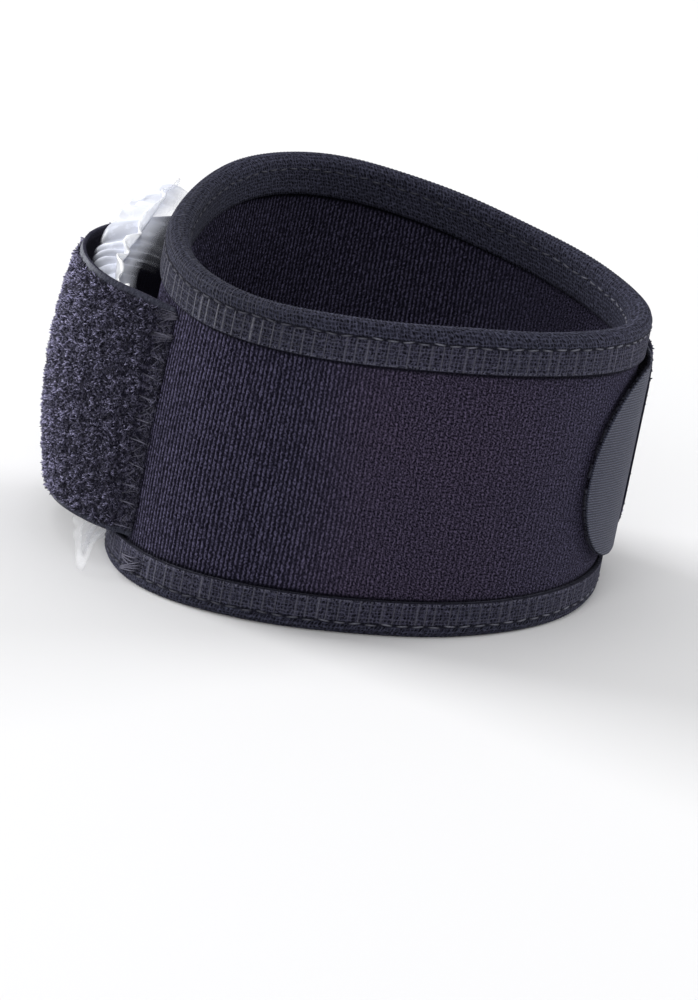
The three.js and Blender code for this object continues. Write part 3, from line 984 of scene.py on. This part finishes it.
# The fan on the bottom tape starts at one angle. Each tack has its start's height, and its end's angle and
# height.
TACK_ANGLE = 208.6
TACKS = np.array((
    (1.9, 218.0, 5.4), (1.9, 218.2, 4.7), (1.8, 217.8, 4.0), (1.7, 216.6, 3.1),
    (4.5, 216.0, 5.4), (4.4, 215.6, 4.4), (4.3, 214.6, 3.5),
))
tack_starts = np.insert(TACKS[:, :1], 0, TACK_ANGLE, axis=1)
sew("tack_stitches", tack_starts, TACKS[:, 1:], on_bottom_tape, SEAM_THREAD, 1.3)

# The air pad is a small pillow of clear film, two sheets welded round their edges with air between them.
# It lies askew in the strap's pocket, with one corner showing above the strap and one below it.
PAD_WIDTH = 46.0
PAD_HEIGHT = 57.0
PAD_WELD = 3.0
PAD_FILM = 0.3
PAD_ANGLE = 173.0
PAD_RADIUS = 54.0
PAD_MIDDLE = 30.2
PAD_SLOPE = 0.3
PAD_LOWER_SLOPE = 0.36
PAD_LOWER_HALF = 0.84
PAD_LOWER_SHIFT = 13.0
PAD_LOWEST = 0.35
PAD_CORNER_RISE = 4.0
PAD_ROOM = 0.6
PAD_TOP_ROOM = 1.6
PAD_FLARE = 7.5
PAD_FLARE_DROP = 7.0
PAD_LEAST_ROOM = 0.15
# Where the pad's upper back corner rises, along and up, and where it has the room at its top, in mm.
PAD_CORNER = (4, 12)
PAD_TOP_UP = (8, 22)
# Where the weld lies, as a share of the way from the sleeve to the strap: at the pad's middle, at its
# bottom, and along its top from the back to the front.
WELD_MIDDLE = 0.5
WELD_BOTTOM = 0.9
WELD_TOP = (0.42, 0.79)
WELD_TOP_ANGLES = (160.0, 190.0)
WELD_SHOWN = 2.3
WELD_CORNER = -0.8
# Ways in mm from the pad's middle to the back: where the weld narrows at the top, where it clears there, and
# where it clears at the sides and the bottom.
WELD_NARROWS = (12, 19)
WELD_CLEARS = (8, 18)
WELD_SIDE_CLEARS = (0, 12)
WELD_RUFFLE = 0.16
CREASE_STEP = 3.5
CREASE_DEPTH = 2.4
CREASE_REACH = 7.0
WELD_REACH = 0.8
INFLATE_UNIT = 50.0
INFLATE_STEPS = 30
PAD_CELLS = (44, 56)


def pocket_place(along, up, swell):
    """The place in the pocket of a point on the film: along and up in mm from the pad's middle, and its
    swell from -1 at the sleeve to 1 at the strap. Below the strap the film flares out."""
    to_end = (2 * up / PAD_HEIGHT) ** 2
    angle = PAD_ANGLE - np.degrees((along - np.where(up < 0, PAD_LOWER_SHIFT * to_end, 0)) / PAD_RADIUS)
    slope = PAD_SLOPE - np.where(up < 0, (PAD_SLOPE - PAD_LOWER_SLOPE) * to_end, 0)
    height = PAD_MIDDLE + slope * along + up * np.where(up < 0, PAD_LOWER_HALF, 1.0)
    height = height + (PAD_CORNER_RISE * ease(along, PAD_CORNER[0], PAD_WIDTH / 2)
                       * ease(up, PAD_CORNER[1], PAD_HEIGHT / 2))
    height = np.maximum(height, PAD_LOWEST)
    low = strap_edge(1, angle)
    high = strap_edge(2, angle)
    gap = strap_inside(angle, np.clip((height - low) / (high - low), 0, 1)) - STRAP_SEAT
    at_top = WELD_TOP[0] + (WELD_TOP[1] - WELD_TOP[0]) * ease(angle, *WELD_TOP_ANGLES)
    weld_share = WELD_MIDDLE + to_end * (np.where(up < 0, WELD_BOTTOM, at_top) - WELD_MIDDLE)
    spare = PAD_ROOM + np.where(swell > 0, PAD_TOP_ROOM * ease(up, *PAD_TOP_UP), 0)
    room = np.maximum(PAD_LEAST_ROOM, gap * np.where(swell > 0, 1 - weld_share, weld_share) - spare)
    flare = PAD_FLARE * np.clip((low - height) / PAD_FLARE_DROP, 0, 1) ** 0.6
    return on_arm(angle, height, STRAP_SEAT + gap * weld_share + swell * room + flare)


def crease_turn(way):
    return way * math.pi / CREASE_STEP + 1.1 * np.sin(way * 0.37)


def creases(way, from_weld):
    """How far the film stands out, in mm, at a way along the weld and a distance from it: puffs between
    sharp creases that run in from the weld."""
    puffs = np.abs(np.sin(crease_turn(way))) ** 0.6 - 0.62
    return CREASE_DEPTH * puffs * np.exp(-from_weld / CREASE_REACH) * (1 - np.exp(-from_weld / WELD_REACH))


pad = flat_strip("pad_film", *PAD_CELLS)
flat_film = points_of(pad) * (
    (PAD_WIDTH - 2 * PAD_WELD) / INFLATE_UNIT, (PAD_HEIGHT - 2 * PAD_WELD) / INFLATE_UNIT, 0)
pad.data.vertices.foreach_set("co", flat_film.ravel())
bpy.ops.object.mode_set(mode="EDIT")
bpy.ops.mesh.select_all(action="SELECT")
bpy.ops.mesh.duplicate()
bpy.ops.transform.translate(value=(0, 0, -0.02))
bpy.ops.mesh.flip_normals()
bpy.ops.mesh.select_all(action="DESELECT")
bpy.ops.mesh.select_mode(type="VERT")
bpy.ops.mesh.select_non_manifold()
bpy.ops.transform.resize(value=(1, 1, 0), center_override=(0, 0, -0.01))
bpy.ops.mesh.remove_doubles(threshold=0.001)
bpy.ops.object.mode_set(mode="OBJECT")
flat_film = points_of(pad)

inflate = pad.modifiers.new("inflate", "CLOTH")
settings = inflate.settings
settings.quality = 8
settings.mass = 0.15
settings.air_damping = 8
settings.tension_stiffness = 40
settings.compression_stiffness = 40
settings.shear_stiffness = 20
settings.bending_stiffness = 0.3
settings.use_pressure = True
settings.uniform_pressure_force = 2.2
settings.effector_weights.gravity = 0
for step in range(1, INFLATE_STEPS + 1):
    bpy.context.scene.frame_set(step)
bpy.ops.object.modifier_apply(modifier=inflate.name)
bpy.context.scene.frame_set(1)
blown = points_of(pad) * INFLATE_UNIT
flat_film = flat_film * INFLATE_UNIT
half_size = np.abs(flat_film[:, :2]).max(axis=0)
to_weld = (half_size - np.abs(flat_film[:, :2])).min(axis=1)
sheet_side = np.sign(np.round(2 * flat_film[:, 2] + 1))
swell = np.abs(blown[:, 2]) / np.percentile(np.abs(blown[:, 2]), 98)
swell = 1 - (1 - np.clip(swell, 0, 1) ** 0.3) ** 2
swell = sheet_side * swell * (1 - np.exp(-to_weld / WELD_REACH))
pad.data.vertices.foreach_set("co", pocket_place(blown[:, 0], blown[:, 1], swell).ravel())

# A white haze is painted on the clear film, a painted reflection and painted light coming through from
# behind: along its top on the outer film all over, and faintly on the inner one, next to the weld and
# towards the back. Both carry a little of it at the bottom. Heights and ways in mm from the pad's middle.
PAINTED_HAZE_TOP = (20.5, 24)
PAINTED_HAZE_AT_WELD = (22.5, 24.5)
PAINTED_HAZE_TO_BACK = (-5, 4)
PAINTED_HAZE_INSIDE = 0.14
PAINTED_HAZE_BOTTOM = (-20, -12)
PAINTED_HAZE_BELOW = 0.1
at_weld = ease(flat_film[:, 1], *PAINTED_HAZE_AT_WELD) * ease(flat_film[:, 0], *PAINTED_HAZE_TO_BACK)
painted_haze = np.where(sheet_side < 0, PAINTED_HAZE_INSIDE * at_weld, ease(flat_film[:, 1], *PAINTED_HAZE_TOP))
painted_haze += PAINTED_HAZE_BELOW * (1 - ease(flat_film[:, 1], *PAINTED_HAZE_BOTTOM))
keep_values(pad, "film_along", flat_film[:, 0])
keep_values(pad, "film_up", flat_film[:, 1])
keep_values(pad, "painted_haze", painted_haze)
edit_all(bpy.ops.mesh.normals_make_consistent, inside=False)
apply_modifier(pad, "SUBSURF", levels=1, render_levels=1)
bpy.ops.object.shade_smooth()
film_along = kept_values(pad, "film_along")
film_up = kept_values(pad, "film_up")
raise_faces(pad, creases(film_up, half_size[0] - np.abs(film_along))
            + creases(film_along, half_size[1] - np.abs(film_up)))

# The weld: a flat ruffled rim of both films, all round the pillow.
on_rim = np.isclose(np.abs(flat_film[:, :2]), half_size, atol=1e-5)
rim_points = np.flatnonzero(on_rim.any(axis=1))
rim_flat = flat_film[rim_points, :2]
rim_out = np.sign(rim_flat) * on_rim[rim_points]
rim_turn = np.arctan2(rim_flat[:, 1] / half_size[1], rim_flat[:, 0] / half_size[0])
rim_order = np.argsort(rim_turn)
rim_order = np.append(rim_order, rim_order[0])
rim_points = rim_points[rim_order]
rim_out = rim_out[rim_order]


def weld_place(along, across):
    step = np.rint(along * (len(rim_points) - 1)).astype(int)
    at = blown[rim_points[step]]
    out = rim_out[step]
    turn = crease_turn(np.where(out[:, 1] != 0, at[:, 0], at[:, 1]))
    corner = np.abs(out).sum(axis=1) - 1
    shown = WELD_SHOWN * (1 + 0.25 * np.sin(turn * 0.7)) + corner * WELD_CORNER
    shown = shown * np.where(at[:, 1] > 0, 1 - 0.75 * ease(at[:, 0], *WELD_NARROWS), 1)
    reach = out * (across * shown)[:, None]
    ruffle = WELD_RUFFLE * across * np.sin(turn)
    places = pocket_place(at[:, 0] + reach[:, 0], at[:, 1] + reach[:, 1], ruffle)
    return places, step * 1.0, across * WELD_SHOWN, 0 * across


weld = flat_strip("pad_weld", len(rim_points) - 1, 4)
weld_step = np.rint((points_of(weld)[:, 0] + 0.5) * (len(rim_points) - 1)).astype(int)
weld_at = blown[rim_points[weld_step]]
# The weld carries the same painted haze: along the top but for a clearing towards the back, and faintly at
# the front of the sides and the bottom.
clear_top = 0.7 * ease(weld_at[:, 0], *WELD_CLEARS)
faint_side = 0.08 * (1 - ease(weld_at[:, 0], *WELD_SIDE_CLEARS))
keep_values(weld, "painted_haze", np.where(rim_out[weld_step, 1] > 0, 1 - clear_top, faint_side))
lay_strip(weld, weld_place)
close_ring()
give_wall(weld, PAD_FILM)


def film_finish(name, haze, painted_edge_gloss, glow):
    """Clear film: see-through, with a painted white haze, a painted reflection, where painted_haze is kept,
    and more of it painted on where it turns away, a painted gloss.
    """
    material, shader = new_material(name)
    tree = Shading(material.node_tree)
    set_inputs(shader, {"Base Color": (0.80, 0.83, 0.94, 1), "Roughness": 0.28, "Specular IOR Level": 0.5,
                        "Subsurface Weight": glow, "Subsurface Radius": (1, 1, 1),
                        "Subsurface Scale": 1.5 * MM})
    painted_haze = tree.kept("painted_haze")
    facing = tree.node("LayerWeight")
    facing.inputs["Blend"].default_value = 0.35
    scuffs = tree.clouds(tree.node("TexCoord").outputs["Object"], 420.0, 3.0)
    scuffs = tree.soft_step(scuffs, 0.54, 0.64)
    # Painted reflection: the film is painted white by its painted haze, more so where it turns away.
    share = tree.times_plus(facing.outputs["Facing"], painted_edge_gloss, haze)
    share = tree.times(tree.times_plus(scuffs, 0.12, share), painted_haze)
    tree.link(tree.calc("MINIMUM", share, 1.0), shader.inputs["Alpha"])
    return material


pad.data.materials.append(film_finish("clear_film", 0.56, 0.6, 0.0))
weld.data.materials.append(film_finish("welded_film", 0.85, 0.15, 0.9))
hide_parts("air_pad")
for film in (pad, weld):
    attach(film, "root")

# The hook tab is a flat tape of fine grey twill with a round nose, stiff with small hooks underneath.
# It is sewn to the end of the strap, wraps round from under it, and presses on the knit.
TAB_HEIGHT = 36.0
TAB_MIDDLE = 27.2
TAB_TIP_ANGLE = 328.0
TAB_LENGTH = 47.0
TAB_ROUND = 18.0
TAB_NOSE = 1.0
# The ways from the tip between which the tab lifts off the knit.
TAB_LIFTS = (6, 22)
TAB_PLATE = 0.34
TAB_HOOKS = 0.76


def tab_at(along, across, offset):
    """A place on the tab, and how far it lies from the tip and up, in mm. The tab lifts off the knit as it
    goes under the strap."""
    nose_turn = math.asin(TAB_NOSE / TAB_ROUND)
    turn = nose_turn + (math.pi / 2 - nose_turn) * np.clip(along / 0.5, 0, 1)
    reach = TAB_ROUND * (1 - np.cos(turn)) + (TAB_LENGTH - TAB_ROUND) * np.clip(along / 0.5 - 1, 0, 1)
    height = TAB_MIDDLE + (2 * across - 1) * TAB_HEIGHT / 2 * np.sin(turn)
    angle = TAB_TIP_ANGLE + np.degrees(reach / (round_the_arm(0, TAB_TIP_ANGLE) + STRAP_SEAT))
    lift = TAB_LIFT * ease(reach, *TAB_LIFTS)
    return on_arm(angle, height, STRAP_SEAT + offset + lift), reach, height


def tab_place(along, across):
    places, reach, height = tab_at(along, across, TAB_HOOKS + TAB_PLATE / 2)
    return places, reach, height, 0 * reach


tab = flat_strip("tab_plate", 64, 40)
lay_strip(tab, tab_place)
give_wall(tab, TAB_PLATE)
apply_modifier(tab, "BEVEL", width=0.12 * MM, segments=2, angle_limit=math.radians(50))
bpy.ops.object.shade_smooth()

tab_cloth, tab_twill, tab_shader = new_cloth("grey_twill", 0.72, 0.2, (0.8, 0.82, 0.9, 1))
place, along, across = tab_twill.cloth_place()
dye = tab_twill.use(lint, Place=place)
TWILL_STEP = 0.5
slanted = tab_twill.times_plus(along, 0.16, across)
line_wander = tab_twill.times(tab_twill.clouds(place, 1.4, 2.0), 0.5)
line_count = tab_twill.calc("ADD", line_wander, tab_twill.calc("DIVIDE", slanted, TWILL_STEP))
line = tab_twill.calc("COSINE", tab_twill.times(line_count, 2 * math.pi))
line = tab_twill.times_plus(line, 0.5, 0.5)
floats = tab_twill.soft_step(tab_twill.clouds(place, 3.0, 1.0), 0.3, 0.7)
line = tab_twill.times(line, tab_twill.times_plus(floats, 0.5, 0.5))
yarn = tab_twill.tint(dye["Drift"], 1.0, (0.078, 0.084, 0.130, 1), (0.094, 0.100, 0.152, 1))
yarn = tab_twill.tint(tab_twill.rest(line), 0.95, yarn, (0.012, 0.013, 0.024, 1))
dress(tab_twill, tab_shader, yarn, line, 0.2)
tab.data.materials.append(tab_cloth)
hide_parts("hook_tab")
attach(tab, "root")

# The hooks: short bent bristles that stand under the tab, thick along its rim, and fray out at the edge.
HOOK_COUNT = 800
HOOK_RADIUS = 0.06
HOOK_RIM = 0.035
hook_draw = np.random.default_rng(21)
hook_along = hook_draw.uniform(0.0, 0.96, HOOK_COUNT)
hook_in = HOOK_RIM * hook_draw.uniform(0, 1, HOOK_COUNT) ** 3
hook_across = np.where(hook_draw.uniform(0, 1, HOOK_COUNT) < 0.5, hook_in, 1 - hook_in)
hook_roots = tab_at(hook_along, hook_across, TAB_HOOKS + 0.1)[0]
hook_tips = tab_at(hook_along, hook_across, hook_draw.uniform(0.0, 0.3, HOOK_COUNT))[0]
hook_middle = tab_at(hook_along, 0.5 + 0 * hook_along, TAB_HOOKS)[0]
hook_bend = unit(hook_roots - hook_middle) * hook_draw.uniform(0.0, 0.6, (HOOK_COUNT, 1)) ** 2 * MM
hook_bows = (hook_roots + hook_tips) / 2 + hook_bend
hook_runs = np.stack((hook_roots, hook_bows, hook_tips + hook_bend * 0.6), axis=1)
hooks = thread_runs("tab_hooks", hook_runs, (0, 0, 1), HOOK_RADIUS * MM, 3)
hook_bristle = thread_finish("hook_bristle", (0.008, 0.008, 0.013, 1), (0.06, 0.062, 0.09, 1))
hooks.data.materials.append(hook_bristle)
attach(hooks, "root")

# Floor, light and camera: the strap stands on a pale floor under large soft lamps.
FLOOR_HALF = 3.0
bpy.ops.object.select_all(action="DESELECT")
bpy.ops.mesh.primitive_plane_add(size=2 * FLOOR_HALF)
floor = bpy.context.object
floor.name = "floor"
pale_floor, floor_shader = new_material("pale_floor")
set_inputs(floor_shader, {"Base Color": (0.78, 0.78, 0.79, 1), "Roughness": 0.6})
floor.data.materials.append(pale_floor)


def soft_lamp(name, size, watts, place, aim):
    lamp = bpy.data.objects.new(name, bpy.data.lights.new(name, "AREA"))
    lamp.data.shape = "RECTANGLE"
    lamp.data.size, lamp.data.size_y = size
    lamp.data.energy = watts
    lamp.location = place
    lamp.rotation_euler = (Vector(aim) - Vector(place)).to_track_quat("-Z", "Y").to_euler()
    bpy.context.collection.objects.link(lamp)


soft_lamp("top_lamp", (2.0, 2.0), 22, (0, 0.3, 2.4), (0, 0, 0.03))
soft_lamp("left_lamp", (1.2, 1.2), 75, (-2.0, 1.1, 0.8), (0, 0, 0.03))
soft_lamp("right_lamp", (1.2, 1.2), 32, (2.0, 0.9, 0.8), (0, 0, 0.03))
soft_lamp("front_lamp", (1.6, 1.2), 22, (-0.5, -2.2, 1.5), (0, 0, 0.03))
studio = bpy.data.worlds.new("studio")
studio.use_nodes = True
set_inputs(studio.node_tree.nodes["Background"], {"Color": (1, 1, 1, 1), "Strength": 0.3})
bpy.context.scene.world = studio
bpy.context.scene.view_settings.view_transform = "Standard"

CAMERA_RISE = math.radians(18)
CAMERA_ROLL = math.radians(5.287)
CAMERA_REACH = 1.0
CAMERA_AIM = Vector((ARM_AXIS_X - 0.063, ARM_AXIS_Y, 11.49)) * MM
CAMERA_LENS = 190.8
CAMERA_SENSOR = 36.0
away = Vector((0, -math.cos(CAMERA_RISE), math.sin(CAMERA_RISE)))
level_right = Vector((1, 0, 0))
level_up = level_right.cross(-away)
right = level_right * math.cos(CAMERA_ROLL) + level_up * math.sin(CAMERA_ROLL)
up = level_up * math.cos(CAMERA_ROLL) - level_right * math.sin(CAMERA_ROLL)
camera = bpy.data.objects.new("camera", bpy.data.cameras.new("camera"))
camera.data.lens = CAMERA_LENS
camera.data.sensor_width = CAMERA_SENSOR
camera.data.clip_start = 0.01
camera.matrix_world = Matrix.Translation(CAMERA_AIM + away * CAMERA_REACH) @ Matrix(
    (right, up, away)
).transposed().to_4x4()
bpy.context.collection.objects.link(camera)
bpy.context.scene.camera = camera
